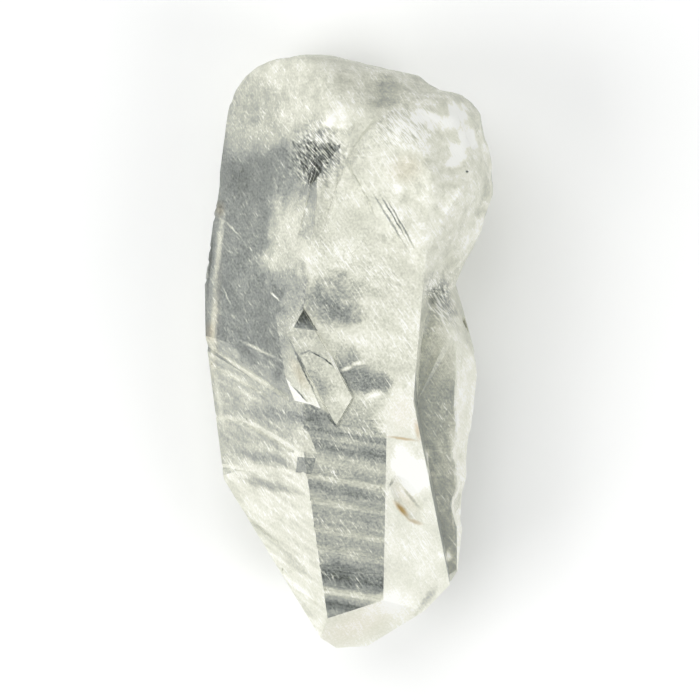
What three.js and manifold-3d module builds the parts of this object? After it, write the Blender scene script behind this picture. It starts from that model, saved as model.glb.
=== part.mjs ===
// A natural quartz point, lying on one prism face: a tapered main crystal with growth bars,
// a smaller crystal grown along its right side, a small crystal set into its upper face,
// and a broken, partly worn base. All of it grew together, so it is one solid.
// Millimetres, +Z up. The point looks along -Y and the resting face is the plane z = 0.
import * as THREE from "three";
import { ImprovedNoise } from "three/addons/math/ImprovedNoise.js";
import { ConvexGeometry } from "three/addons/geometries/ConvexGeometry.js";
import { mergeVertices } from "three/addons/utils/BufferGeometryUtils.js";
import Module from "manifold-3d";

const wasm = await Module();
wasm.setup();

// Driving dimensions
const TOP_HEIGHT = 33.5; // resting face to the upper prism face
const TIP_REACH = 46; // origin to the blunt end of the point
const REACH = 200; // larger than the whole crystal, for cutting tools

// Crystal faces of the main crystal. tilt is how far the face leans away from facing straight up,
// azimuth the way it leans (0 is +X, 90 is +Y), and through a point on the face.
const MAIN_FACES = {
  upper: { azimuth: 60, tilt: 1, through: [-2, 6, TOP_HEIGHT] },
  barred: { azimuth: -90, tilt: 13, through: [0, -13, TOP_HEIGHT - 0.3] },
  leftUpper: { azimuth: 172.4, tilt: 53, through: [-7, 6, TOP_HEIGHT] },
  leftBarred: { azimuth: 187, tilt: 55, through: [-6.9, -14, TOP_HEIGHT - 0.4] },
  leftPoint: { azimuth: 197.5, tilt: 54.3, through: [-6.3, -20.3, 31.5] },
  right: { azimuth: -28, tilt: 27, through: [5.7, -13, TOP_HEIGHT - 0.3] },
  rightWall: { azimuth: 10, tilt: 85.5, through: [9.8, -8, 32.4] },
  pointFront: { azimuth: -76, tilt: 45, through: [-3.3, -41.4, 26.6] },
  pointEnd: { azimuth: -88, tilt: 96, through: [0, -TIP_REACH, 21] },
  underLeft: { azimuth: 172.4, tilt: 120, through: [-22.3, 12.2, 12.5] },
  underLeftPoint: { azimuth: 187.5, tilt: 119, through: [-22.5, 3, 14] },
  underRight: { azimuth: 0, tilt: 122, through: [17.5, 0, 12] },
  pointUnderLeft: { azimuth: 219.3, tilt: 110.2, through: [-18.5, -22.2, 15.2] },
  pointUnderRight: { azimuth: -48.6, tilt: 116.6, through: [14.4, -37.4, 23.4] },
  resting: { azimuth: 0, tilt: 180, through: [0, 0, 0] },
};
// Behind the right wall the crystal is wider, in two steps, up to its base.
const STEP_FACES = {
  upper: MAIN_FACES.upper,
  barred: MAIN_FACES.barred,
  right: MAIN_FACES.right,
  underRight: MAIN_FACES.underRight,
  resting: MAIN_FACES.resting,
  wall: { azimuth: -5, tilt: 85.5, through: [9.8, -8, 32.4] },
  front: { azimuth: -90, tilt: 90, through: [0, -8, 0] },
  back: { azimuth: 90, tilt: 90, through: [0, 20, 0] },
  buried: { azimuth: 180, tilt: 90, through: [-2, 0, 0] },
};
const BASE_FACES = {
  upper: MAIN_FACES.upper,
  leftUpper: MAIN_FACES.leftUpper,
  underLeft: MAIN_FACES.underLeft,
  underRight: MAIN_FACES.underRight,
  resting: MAIN_FACES.resting,
  wall: { azimuth: 0, tilt: 76, through: [16.5, 30, 20] },
  front: { azimuth: -90, tilt: 90, through: [0, 18, 0] },
};
// The base end is worn round: a hull of balls at its corners, open towards the point.
const WORN_RADIUS = 10.2;
const WORN_END = [[-9.3, 35.2], [-4, 35.4], [5.5, 32.9], [10.5, 30]];
const WORN_LEVELS = [10, 23.2];
const WORN_FRONT = [[-40, -60, -10], [40, -60, -10], [-40, -60, 60], [40, -60, 60]];

// The side crystal is parallel to the main one and lower.
const SIDE_FACES = {
  top: { azimuth: -82, tilt: 13, through: [13.5, -2, 24.5] },
  right: { azimuth: -5.5, tilt: 66, through: [17.4, -6, 21.5] },
  underRight: { azimuth: -5.5, tilt: 116, through: [19.7, -1, 16] },
  shoulder: { azimuth: 24, tilt: 78, through: [16.4, 4.4, 20] },
  point: { azimuth: -60, tilt: 62, through: [15.6, -34.6, 17.5] },
  pointUnder: { azimuth: -62, tilt: 125, through: [16.2, -35.4, 14.5] },
  buried: { azimuth: 180, tilt: 90, through: [6, 0, 0] },
  upperEnd: { azimuth: 75, tilt: 48, through: [15, 6.5, 25] },
  underside: { azimuth: -20, tilt: 155, through: [13, -10, 4] },
  resting: MAIN_FACES.resting,
};

// The broken block at the base: corners of its top, of its outline and of its underside.
const BLOCK = [
  [-0.6, 29.3, 34.6], [3.3, 34, 35], [8, 37.4, 33.6], [14, 38.8, 29.5], [4, 23, 34.4],
  [12.6, 26, 35.4], [18.4, 27, 32], [11.9, 13.8, 33.8], [10.8, 8.4, 32.2], [17, 33, 32],
  [8, 41.4, 19], [13, 39.9, 18], [18.4, 39.3, 19], [20.7, 36.7, 18], [22, 29.3, 17],
  [22.7, 24.3, 19], [21.2, 20.6, 18], [19.7, 16.4, 19], [17.1, 11.6, 20], [16, 8.4, 19],
  [4, 37, 4], [13, 35, 5], [18, 26, 7], [17, 14, 8], [12, 6, 8], [2, 14, 3],
];

// The small crystal set into the upper face: its top face, and how its flanks spread below.
const SMALL_TOP = [[-7, 6], [0.5, -7.4], [-2, -11.6], [-9.5, 2.3]];
const SMALL_RISE = 0.7;
const SMALL_FLANK = { spread: 1.3, depth: 5 };

// Growth bars: shallow V grooves across a face, from one point to another seen from above.
const BARS = [
  { face: "barred", from: [-6.6, -19.2], to: [4.9, -21.3], width: 1.3, depth: 0.26 },
  { face: "barred", from: [-6, -23], to: [4.9, -24.8], width: 1, depth: 0.22 },
  { face: "barred", from: [-5.6, -27.4], to: [4.9, -29.3], width: 1.2, depth: 0.24 },
  { face: "barred", from: [-5.2, -30.3], to: [4.9, -32.1], width: 0.9, depth: 0.2 },
  { face: "barred", from: [-4.6, -33.3], to: [4.9, -34.9], width: 0.7, depth: 0.14 },
  { face: "barred", from: [-3.8, -37], to: [4.9, -38.4], width: 1.4, depth: 0.3 },
  { face: "leftBarred", from: [-22.5, 0.5], to: [-9.2, -7.6], width: 1.5, depth: 0.35 },
  { face: "leftBarred", from: [-21.5, -2.4], to: [-12.6, -7.2], width: 0.8, depth: 0.16 },
  { face: "leftBarred", from: [-21.5, -10.3], to: [-15.5, -11.6], width: 1.1, depth: 0.22 },
  { face: "leftBarred", from: [-16, -11.4], to: [-8.4, -15.7], width: 1.2, depth: 0.26 },
  { face: "leftBarred", from: [-20.5, -18.3], to: [-8.4, -19.8], width: 0.8, depth: 0.16 },
  { face: "leftPoint", from: [-19.6, -22.9], to: [-11, -30.1], width: 0.9, depth: 0.16 },
  { face: "leftPoint", from: [-17.4, -26.9], to: [-8.4, -34.6], width: 0.7, depth: 0.12 },
  { face: "leftPoint", from: [-10.4, -34.2], to: [-5, -39.2], width: 0.8, depth: 0.14 },
  ...barsDown("underLeft", [-23, 26], [-12, 26], [-23, 4], [-12, 4], 8, 1.1, 0.3),
  ...barsDown("underRight", [9, 4], [19, 4], [9, -26], [19, -26], 8, 1.1, 0.3),
];

// Shell-shaped scars where pieces broke away: how wide and deep, where, and the way they face.
// A long scar is stretched so many times its width, along a line turned from its leaning way.
const SCARS = [
  { at: [16.4, 34.8, 31.6], azimuth: -20, tilt: 30, width: 10, depth: 1.2 },
  { at: [7, 39.4, 31], azimuth: 82, tilt: 48, width: 11, depth: 1.3 },
  { at: [20.4, 20.5, 28], azimuth: -8, tilt: 55, width: 14, depth: 1.6 },
  { at: [15.6, 12.4, 30.6], azimuth: -30, tilt: 50, width: 9, depth: 1.5 },
  { at: [11, 31.5, 35.2], azimuth: 100, tilt: 8, width: 9, depth: 0.6 },
  { at: [8.5, 21, 34.9], azimuth: 215, tilt: 8, width: 8, depth: 0.5 },
  { at: [-6.2, 31.4, 33], azimuth: 150, tilt: 24, width: 7, depth: 1 },
  { at: [-2.6, 30, 33.6], azimuth: 200, tilt: 26, width: 7, depth: 1.2 },
  { at: [-5.6, 26.6, 33.2], azimuth: 60, tilt: 22, width: 6, depth: 0.9 },
  { at: [-2.2, 33.8, 33.4], azimuth: 250, tilt: 18, width: 6, depth: 0.8 },
  { at: [-13, 38.6, 27], azimuth: 130, tilt: 50, width: 8, depth: 0.5 },
  { at: [8.9, -23.1, 29.2], azimuth: -28, tilt: 27, width: 3.4, depth: 0.45, long: 2.5, turn: -27 },
  { at: [18.4, 2, 21], azimuth: 20, tilt: 55, width: 6, depth: 0.8 },
  { at: [17.6, -16, 18], azimuth: -5, tilt: 62, width: 5, depth: 0.5 },
  { at: [17, -24, 17], azimuth: -5, tilt: 62, width: 4, depth: 0.4 },
  { at: [-18, 24, 9], azimuth: 172, tilt: 120, width: 8, depth: 0.7 },
  { at: [21, 27, 12], azimuth: 0, tilt: 110, width: 12, depth: 1.4 },
];

// Broken and worn zones, as ellipsoids: relief is how rough they are, grain the size of a lump.
const ROUGH_ZONES = [
  { centre: [-4, 46, 18], reach: [26, 17, 24], relief: 0.7, grain: 6 },
  { centre: [13, 27, 24], reach: [16, 20, 20], relief: 1.1, grain: 5 },
  { centre: [16, 8, 25], reach: [7, 8, 10], relief: 1.1, grain: 3.4 },
  { centre: [18, -12, 20], reach: [2.6, 26, 12], relief: 0.3, grain: 2.6 },
  { centre: [-4, 29.5, 33], reach: [6, 8, 5], relief: 0.8, grain: 2.6 },
];
const ROUGH_ABOVE = 1.2; // the resting face stays flat
const FINE_EDGE = 3.4; // longest edge in a rough zone
const PLAIN_EDGE = 14; // longest edge elsewhere

// Turns a closed geometry into a solid for cutting and joining.
function solidOf(geometry) {
  const bare = new THREE.BufferGeometry().setAttribute("position", geometry.getAttribute("position"));
  bare.setIndex(geometry.getIndex());
  const merged = mergeVertices(bare, 1e-4);
  return new wasm.Manifold(
    new wasm.Mesh({
      numProp: 3,
      vertProperties: merged.attributes.position.array,
      triVerts: new Uint32Array(merged.index.array),
    }),
  );
}

function geometryOf(solid) {
  const mesh = solid.getMesh();
  return new THREE.BufferGeometry()
    .setAttribute("position", new THREE.BufferAttribute(mesh.vertProperties, 3))
    .setIndex(new THREE.BufferAttribute(mesh.triVerts, 1));
}

function normalOf({ azimuth, tilt }) {
  const lean = THREE.MathUtils.degToRad(tilt);
  const way = THREE.MathUtils.degToRad(azimuth);
  return new THREE.Vector3(
    Math.sin(lean) * Math.cos(way),
    Math.sin(lean) * Math.sin(way),
    Math.cos(lean),
  );
}

// Everything on the outer side of a crystal face.
function beyond(face) {
  const turn = new THREE.Quaternion().setFromUnitVectors(new THREE.Vector3(0, 0, 1), normalOf(face));
  const outside = new THREE.BoxGeometry(2 * REACH, 2 * REACH, REACH)
    .translate(0, 0, REACH / 2)
    .applyQuaternion(turn)
    .translate(...face.through);
  return solidOf(outside);
}

// A crystal is what its faces leave of a large block.
function crystal(faces) {
  let left = solidOf(new THREE.BoxGeometry(REACH, REACH, REACH));
  for (const face of Object.values(faces)) left = left.subtract(beyond(face));
  return left;
}

function hull(points) {
  return solidOf(new ConvexGeometry(points));
}

function pointsOf(geometry) {
  const position = geometry.getAttribute("position");
  return Array.from({ length: position.count }, (_, i) =>
    new THREE.Vector3().fromBufferAttribute(position, i),
  );
}

// The point of a crystal face above or below a place seen from above.
function onFace(face, [x, y]) {
  const n = normalOf(face);
  const [px, py, pz] = face.through;
  return new THREE.Vector3(x, y, pz - (n.x * (x - px) + n.y * (y - py)) / n.z);
}

// Unevenly stepped bars on one face, from a first bar to a last one.
function barsDown(face, firstFrom, firstTo, lastFrom, lastTo, count, width, depth) {
  const mix = (a, b, t) => [a[0] + (b[0] - a[0]) * t, a[1] + (b[1] - a[1]) * t];
  return Array.from({ length: count }, (_, i) => {
    const uneven = (i + 0.3 * Math.sin(2.4 * i)) / (count - 1);
    const bold = 0.75 + 0.45 * Math.abs(Math.sin(1.7 * i + 0.6));
    return {
      face,
      from: mix(firstFrom, lastFrom, uneven),
      to: mix(firstTo, lastTo, uneven),
      width: width * bold,
      depth: depth * bold,
    };
  });
}

// A lopsided V groove along a line on a face, as one growth bar leaves it.
function groove(start, end, outward, width, depth) {
  const along = end.clone().sub(start);
  const length = along.length();
  along.normalize();
  const across = new THREE.Vector3().crossVectors(outward, along).normalize();
  const section = new THREE.Shape([
    new THREE.Vector2(-width * 0.3, 0),
    new THREE.Vector2(0, -depth),
    new THREE.Vector2(width * 0.7, 0),
    new THREE.Vector2(width * 0.7, depth),
    new THREE.Vector2(-width * 0.3, depth),
  ]);
  const cut = new THREE.ExtrudeGeometry(section, { depth: length, bevelEnabled: false });
  cut.applyMatrix4(new THREE.Matrix4().makeBasis(across, outward, along).setPosition(start));
  return solidOf(cut);
}

function bars() {
  return BARS.map(({ face, from, to, width, depth }) => {
    const plane = MAIN_FACES[face];
    return groove(onFace(plane, from), onFace(plane, to), normalOf(plane), width, depth);
  });
}

// The main crystal, with its worn base end.
function mainCrystal() {
  const balls = WORN_END.flatMap(([x, y]) =>
    WORN_LEVELS.flatMap((z) => {
      const ball = new THREE.IcosahedronGeometry(WORN_RADIUS, 2).translate(x, y, z);
      return pointsOf(ball);
    }),
  );
  const envelope = hull([...balls, ...WORN_FRONT.map((p) => new THREE.Vector3(...p))]);
  return crystal(MAIN_FACES).add(crystal(STEP_FACES)).add(crystal(BASE_FACES)).intersect(envelope);
}

// The small crystal: its top face lies a little above the upper face, its flanks go down into it.
function smallCrystal() {
  const centre = [0, 1].map((k) => SMALL_TOP.reduce((sum, p) => sum + p[k], 0) / SMALL_TOP.length);
  const top = SMALL_TOP.map(([x, y]) => new THREE.Vector3(x, y, TOP_HEIGHT + SMALL_RISE));
  const foot = SMALL_TOP.map(([x, y]) =>
    new THREE.Vector3(
      centre[0] + (x - centre[0]) * SMALL_FLANK.spread,
      centre[1] + (y - centre[1]) * SMALL_FLANK.spread,
      TOP_HEIGHT - SMALL_FLANK.depth,
    ),
  );
  return hull([...top, ...foot]);
}

// A scar is the bite of a large ball, or for a long scar a stretched one, that stands off the surface.
function scar({ at, azimuth, tilt, width, depth, long = 1, turn = 0 }) {
  const radius = (width * width) / (8 * depth) + depth / 2;
  const centre = new THREE.Vector3(...at).addScaledVector(normalOf({ azimuth, tilt }), radius - depth);
  const detail = Math.round((5 * radius) / width);
  const lean = new THREE.Euler(0, THREE.MathUtils.degToRad(tilt), THREE.MathUtils.degToRad(azimuth), "ZYX");
  const ball = new THREE.IcosahedronGeometry(radius, detail)
    .scale(long, 1, 1)
    .rotateZ(THREE.MathUtils.degToRad(turn))
    .applyQuaternion(new THREE.Quaternion().setFromEuler(lean))
    .translate(centre.x, centre.y, centre.z);
  return solidOf(ball);
}

// The rough zones a point lies in, each with its share of relief.
function roughness(point) {
  return ROUGH_ZONES.flatMap(({ centre, reach, relief, grain }) => {
    const away = Math.hypot(...centre.map((c, k) => (point.getComponent(k) - c) / reach[k]));
    const share = 1 - THREE.MathUtils.smoothstep(away, 0.7, 1);
    return share > 0 ? [{ relief: relief * share, grain }] : [];
  });
}

// Halves every edge that is too long for where it is, on both of its triangles, until none is left.
function refine(points, triangles) {
  const middleOfLong = (a, b) => {
    const middle = points[a].clone().lerp(points[b], 0.5);
    const limit = roughness(middle).length && middle.z > ROUGH_ABOVE ? FINE_EDGE : PLAIN_EDGE;
    return points[a].distanceTo(points[b]) > limit ? middle : null;
  };
  let changed = true;
  while (changed) {
    changed = false;
    const middles = new Map();
    const middleOf = (a, b) => {
      const key = a < b ? `${a} ${b}` : `${b} ${a}`;
      if (!middles.has(key)) {
        const middle = middleOfLong(a, b);
        middles.set(key, middle ? points.push(middle) - 1 : -1);
      }
      return middles.get(key);
    };
    triangles = triangles.flatMap((corners) => {
      const split = corners.map((a, i) => middleOf(a, corners[(i + 1) % 3]));
      const count = split.filter((m) => m >= 0).length;
      if (!count) return [corners];
      changed = true;
      return splitTriangle(corners, split, count);
    });
  }
  return triangles;
}

// split holds the new point on each side of the triangle, or -1.
function splitTriangle([a, b, c], [ab, bc, ca], count) {
  if (count === 3) return [[a, ab, ca], [ab, b, bc], [ca, bc, c], [ab, bc, ca]];
  if (count === 1) {
    if (ab >= 0) return [[a, ab, c], [ab, b, c]];
    if (bc >= 0) return [[b, bc, a], [bc, c, a]];
    return [[c, ca, b], [ca, a, b]];
  }
  if (ab < 0) return [[c, ca, bc], [ca, a, bc], [a, b, bc]];
  if (bc < 0) return [[a, ab, ca], [ab, b, ca], [b, c, ca]];
  return [[b, bc, ab], [bc, c, ab], [c, a, ab]];
}

// Makes the broken and worn zones lumpy, by a soft push that changes over the length of a grain.
function roughen(geometry) {
  const points = pointsOf(geometry);
  const index = Array.from(geometry.getIndex().array);
  const corners = Array.from({ length: index.length / 3 }, (_, i) => index.slice(3 * i, 3 * i + 3));
  const triangles = refine(points, corners).flat();
  const noise = new ImprovedNoise();
  const moved = points.map((point) => {
    const above = THREE.MathUtils.smoothstep(point.z, ROUGH_ABOVE, 2 * ROUGH_ABOVE);
    const push = new THREE.Vector3();
    for (const { relief, grain } of roughness(point)) {
      const [x, y, z] = point.clone().divideScalar(grain);
      push.x += relief * above * noise.noise(x, y, z);
      push.y += relief * above * noise.noise(y, z, x + 7);
      push.z += relief * above * noise.noise(z, x + 3, y);
    }
    return push.add(point);
  });
  return new THREE.BufferGeometry().setFromPoints(moved).setIndex(triangles);
}

function quartzPoint() {
  const block = hull(BLOCK.map((corner) => new THREE.Vector3(...corner)));
  const grown = [mainCrystal(), block, crystal(SIDE_FACES), smallCrystal()];
  const cuts = [...bars(), ...SCARS.map(scar)];
  let solid = grown[0];
  for (const piece of grown.slice(1)) solid = solid.add(piece);
  for (const cut of cuts) solid = solid.subtract(cut);
  return centred(roughen(geometryOf(solid)));
}

// Puts the origin under the middle of the crystal, on the resting face.
function centred(geometry) {
  geometry.computeBoundingBox();
  const middle = geometry.boundingBox.getCenter(new THREE.Vector3());
  return geometry.translate(-middle.x, -middle.y, 0);
}

const quartz = new THREE.MeshStandardMaterial({ color: 0xdadccf, roughness: 0.25, metalness: 0 });
const point = new THREE.Mesh(quartzPoint(), quartz);
point.name = "quartz_point";

const part = new THREE.Group();
part.add(point);
export default part;
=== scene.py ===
# %% [markdown]
# # A lemurian quartz point
# The crystal was modelled as one solid and packed as a fixed frame. This lesson gives it its looks:
# clear and milky quartz, growth bars, a frosted broken base and iron stains. Everything stays in the
# solid's own frame: metres, +Z up, the point towards -Y, lying on a prism face.

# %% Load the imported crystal
import math
from collections import Counter

import bmesh
import bpy
import numpy as np
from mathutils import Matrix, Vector, noise


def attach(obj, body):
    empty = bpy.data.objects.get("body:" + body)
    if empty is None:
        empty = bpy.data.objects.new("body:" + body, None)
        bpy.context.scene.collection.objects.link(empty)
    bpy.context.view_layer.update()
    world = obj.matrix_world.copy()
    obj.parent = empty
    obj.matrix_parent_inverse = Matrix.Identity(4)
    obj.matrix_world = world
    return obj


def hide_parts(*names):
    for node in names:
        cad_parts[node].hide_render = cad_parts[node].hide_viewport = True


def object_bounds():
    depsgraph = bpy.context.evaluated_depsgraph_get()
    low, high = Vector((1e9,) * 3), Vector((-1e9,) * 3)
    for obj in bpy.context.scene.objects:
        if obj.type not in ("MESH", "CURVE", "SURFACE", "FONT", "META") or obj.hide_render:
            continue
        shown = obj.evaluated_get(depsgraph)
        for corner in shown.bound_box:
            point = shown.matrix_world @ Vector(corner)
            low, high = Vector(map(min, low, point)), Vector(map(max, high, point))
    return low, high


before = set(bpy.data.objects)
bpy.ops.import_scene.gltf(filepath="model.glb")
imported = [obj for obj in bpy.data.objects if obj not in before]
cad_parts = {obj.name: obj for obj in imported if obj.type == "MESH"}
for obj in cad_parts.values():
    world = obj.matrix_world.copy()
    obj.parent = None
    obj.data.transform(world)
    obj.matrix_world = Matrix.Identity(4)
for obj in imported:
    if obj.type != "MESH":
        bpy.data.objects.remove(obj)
cad_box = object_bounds()
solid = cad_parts["quartz_point"]
print("solid:", len(solid.data.polygons), "triangles")
print("box:", [tuple(round(c, 4) for c in corner) for corner in cad_box])

# %% [markdown]
# ## Small tools
# Sizes are thought of in millimetres, colours are written as sRGB hex, and one function adds a node
# to any tree. That keeps the later cells about quartz and not about bookkeeping.

# %% Millimetres, colours and nodes
MM = 0.001
NOISE_MIDDLE = 0.5  # noise runs from 0 to 1


def linear(hex_colour):
    """An sRGB hex colour as linear red, green, blue and alpha."""
    parts = [int(hex_colour[i : i + 2], 16) / 255 for i in (1, 3, 5)]
    return tuple(c / 12.92 if c <= 0.04045 else ((c + 0.055) / 1.055) ** 2.4 for c in parts) + (1.0,)


def add(tree, kind, inputs=None, **settings):
    """Adds a node. settings are its own properties, inputs are values or sockets, by name or place."""
    made = tree.nodes.new(kind)
    for name, value in settings.items():
        setattr(made, name, value)
    for key, value in (inputs or {}).items():
        if isinstance(value, bpy.types.NodeSocket):
            tree.links.new(value, made.inputs[key])
        else:
            made.inputs[key].default_value = value
    return made


# %% [markdown]
# ## Camera and studio
# The picture looks straight down on the lying crystal. A long lens keeps the faces parallel, as in a
# product picture. A softbox on the right lights the right face, whose white glare is painted into the
# quartz's colour further down, a larger one on the left opens up the left faces, and the broadest one
# above lights the top. A grey room fills the shadows and gives the clear faces something darker to mirror.

# %% Camera
PIXEL = 0.155 * MM  # the size of one picture pixel on the crystal
FRAME_PIXELS = 700
LENS, SENSOR = 300.0, 36.0  # mm
VIEW_DEPTH = 10.0  # m
AIM = Vector((0.1, 0.1, 18)) * MM
camera_data = bpy.data.cameras.new("camera")
camera_data.lens, camera_data.sensor_width = LENS, SENSOR
camera_data.clip_end = VIEW_DEPTH
camera = bpy.data.objects.new("camera", camera_data)
camera.location = AIM + Vector((0, 0, PIXEL * FRAME_PIXELS * LENS / SENSOR))
bpy.context.scene.collection.objects.link(camera)
bpy.context.scene.camera = camera
print("camera height:", round(camera.location.z, 3), "m")


# %% Softboxes and room
SOFTBOXES = {  # direction from the crystal, distance and size in m, power in W
    "right_softbox": ((0.716, -0.389, 0.581), 0.6, 0.32, 1.45),
    "left_softbox": ((-0.75, -0.25, 0.6), 0.8, 0.5, 3.5),
    "top_softbox": ((-0.25, 0.45, 0.9), 0.9, 0.7, 3.1),
}
ROOM_COLOUR, ROOM_STRENGTH = "#c9cbcc", 0.62


def softbox(name, direction, distance, size, power):
    """A square area light that shines on the crystal from a direction."""
    data = bpy.data.lights.new(name, "AREA")
    data.size, data.energy = size, power
    lamp = bpy.data.objects.new(name, data)
    way = Vector(direction).normalized()
    lamp.location = AIM + way * distance
    lamp.rotation_euler = way.to_track_quat("Z", "Y").to_euler()
    bpy.context.scene.collection.objects.link(lamp)
    print(name, "at", [round(c, 2) for c in lamp.location])


for name, values in SOFTBOXES.items():
    softbox(name, *values)

world = bpy.data.worlds.new("grey_room")
world.use_nodes = True
room = world.node_tree.nodes["Background"].inputs
room["Color"].default_value = linear(ROOM_COLOUR)
room["Strength"].default_value = ROOM_STRENGTH
bpy.context.scene.world = world
bpy.context.scene.view_settings.view_transform = "Standard"

# %% Floor of white paper
FLOOR = 3.0  # m: half the side of the paper
FLOOR_GAP = 0.05 * MM  # keeps the paper just clear of the resting face
PAPER_COLOUR, PAPER_ROUGHNESS = "#fbfbfa", 0.9
corners = [(x * FLOOR, y * FLOOR, -FLOOR_GAP) for x, y in ((-1, -1), (1, -1), (1, 1), (-1, 1))]
floor_mesh = bpy.data.meshes.new("floor")
floor_mesh.from_pydata(corners, [], [(0, 1, 2, 3)])
floor = bpy.data.objects.new("floor", floor_mesh)
paper = bpy.data.materials.new("white_paper")
paper.use_nodes = True
paper_finish = paper.node_tree.nodes["Principled BSDF"].inputs
paper_finish["Base Color"].default_value = linear(PAPER_COLOUR)
paper_finish["Roughness"].default_value = PAPER_ROUGHNESS
floor_mesh.materials.append(paper)
bpy.context.scene.collection.objects.link(floor)
print("floor:", 2 * FLOOR, "m of paper")

# %% [markdown]
# ## Which crystal face is which
# Each face of a quartz crystal grew at its own speed, so one is clear and its neighbour milky, with
# a crisp change at the edge between them. The milkiness could be painted by place, but that would
# blur over the edges. Here a copy of the solid remembers it face by face: a small triangle belongs to
# a crystal face when it lies in that face's plane. A growth bar is a groove in a face and takes after
# that face.

# %% Milkiness by crystal face
FACES = {  # azimuth and tilt of the face in degrees, a point on it in mm, and how milky it is
    "upper": ((60, 1), (-2, 6.25, 33.5), 0.84),
    "barred": ((-90, 13), (0, -12.75, 33.2), 0.58),
    "left_upper": ((172.4, 53), (-7, 6.25, 33.5), 0.42),
    "left_barred": ((187, 55), (-6.9, -13.75, 33.1), 0.66),
    "left_point": ((197.5, 54.3), (-6.3, -20.05, 31.5), 0.87),
    "right": ((-28, 27), (5.7, -12.75, 33.2), 0.88),
    "right_wall": ((10, 85.5), (9.8, -7.75, 32.4), 0.45),
    "point_front": ((-76, 45), (-3.3, -41.15, 26.6), 0.93),
    "small_top": ((0, 0), (-4, -2, 34.2), 0.8),
    "side_top": ((-82, 13), (13.5, -1.75, 24.5), 0.6),
    "side_right": ((-5.5, 66), (17.4, -5.75, 21.5), 0.95),
    "under_left": ((172.4, 120), (-22.3, 12.45, 12.5), 0.5),
    "under_left_point": ((187.5, 119), (-22.5, 3.25, 14), 0.62),
    "under_right": ((0, 122), (17.5, 0.25, 12), 0.55),
    "point_under_left": ((219.3, 110.2), (-18.5, -21.95, 15.2), 0.7),
    "point_under_right": ((-48.6, 116.6), (14.4, -37.15, 23.4), 0.6),
}
PLAIN, PLAIN_MILK = -1, 0.76  # for what is in no crystal face
NEAR_FACE = 0.8 * MM  # a groove or a chip in a crystal face isn't deeper
MOST_LEAN = math.cos(math.radians(37))  # and its walls lean no more


def direction(azimuth, tilt):
    """The way a crystal face looks: azimuth from +X, tilt from straight up, in degrees."""
    a, t = math.radians(azimuth), math.radians(tilt)
    return Vector((math.sin(t) * math.cos(a), math.sin(t) * math.sin(a), math.cos(t)))


PLANES = [(direction(*angles), Vector(point) * MM) for angles, point, _ in FACES.values()]


def crystal_face(face):
    """The crystal face that a triangle lies in or is cut into, as its place in FACES."""
    found, closest = PLAIN, MOST_LEAN
    for number, (way, point) in enumerate(PLANES):
        facing = face.normal.dot(way)
        if facing > closest and abs((face.calc_center_median() - point).dot(way)) < NEAR_FACE:
            found, closest = number, facing
    return found


print("crystal faces:", len(PLANES))


# %% [markdown]
# ## Facets of the small crystal
# A small crystal is set into the upper face, and its ends and flanks are straight-edged facets of
# different clearness. Beside the barred face are two more such facets, and the dark fracture below the
# worn cap has straight edges too. Soft patches would lose those edges, and drawing them in the material
# would take many nodes. So the mesh is cut along each facet's edges, and the triangles inside remember
# the facet.

# %% Facets
FACETS = {  # corners in mm from above, anticlockwise; milk, and its change for each mm along X and Y
    "small crystal": (((-6.9, 6.4), (-9.5, 2.6), (-2.0, -11.4), (0.4, -7.2)), 0.76, (0.02, 0.0)),
    "dark end": (((-6.9, 6.4), (-8.5, 3.5), (-4.8, 3.0)), 0.24, (0.0, -0.18)),
    "pale sliver": (((-7.2, 7.3), (-11.4, 5.6), (-9.4, 2.6), (-8.5, 3.5)), 0.67, (0.067, -0.078)),
    "cream flank": (
        ((-11.4, 5.6), (-9.7, -4.2), (-5.8, -8.2), (-4.4, -8.8), (-9.4, 2.6)),
        0.74,
        (0.05, -0.012),
    ),
    "white flank": (((-9.7, -4.2), (-8.4, -7.6), (-5.8, -8.2)), 1.02, (0.0, 0.0)),
    "light facet": (((-8.9, -12.0), (-8.3, -15.3), (-4.9, -15.7), (-6.3, -12.3)), 0.8, (0.0, 0.0)),
    "dark corner": (((-7.9, -16.2), (-8.2, -18.6), (-5.7, -18.8), (-5.1, -16.4)), 0.46, (0.0, 0.0)),
    "fracture": (((-8.7, 32.0), (-5.9, 25.4), (-1.4, 31.4)), 0.2, (0.0, 0.07)),
}
NO_FACET = -1
UPPER = 0.2  # only what looks this much upwards is cut
CUT_ROOM = 2.0  # mm: how far past a facet the cuts reach
ON_CUT = 1e-7  # m: a point this near to a cut is taken to lie on it


def sides(corners):
    """The sides of a facet, each as its two ends."""
    return zip(corners, corners[1:] + corners[:1])


def holds(corners, x, y):
    """Whether a point lies inside a facet, as seen from above."""
    return all((bx - ax) * (y - ay) >= (by - ay) * (x - ax) for (ax, ay), (bx, by) in sides(corners))


def upper_faces(work, corners):
    """The upper triangles around a facet."""
    middle = sum((Vector(corner) for corner in corners), Vector((0, 0))) / len(corners)
    room = max((Vector(corner) - middle).length for corner in corners) + CUT_ROOM
    for face in work.faces:
        if face.normal.z > UPPER and (face.calc_center_median().xy / MM - middle).length < room:
            yield face


def cut_facet(work, corners):
    """Cuts the upper side along the sides of a facet."""
    for (ax, ay), (bx, by) in sides(corners):
        near = list(upper_faces(work, corners))
        around = {part for face in near for part in (*face.verts, *face.edges)}
        bmesh.ops.bisect_plane(
            work,
            geom=near + list(around),
            dist=ON_CUT,
            plane_co=(ax * MM, ay * MM, 0),
            plane_no=(ay - by, bx - ax, 0),
        )


print("facets:", len(FACETS))


# %% [markdown]
# ## Worn and broken zones
# The base end was worn round and the block beside it broke off its matrix. The solid has their large
# lumps, and the fine relief comes from Geometry Nodes further down, which need to know how worn each
# point is. A few soft ellipsoids say that: they lie where the solid is worn or broken.

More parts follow.
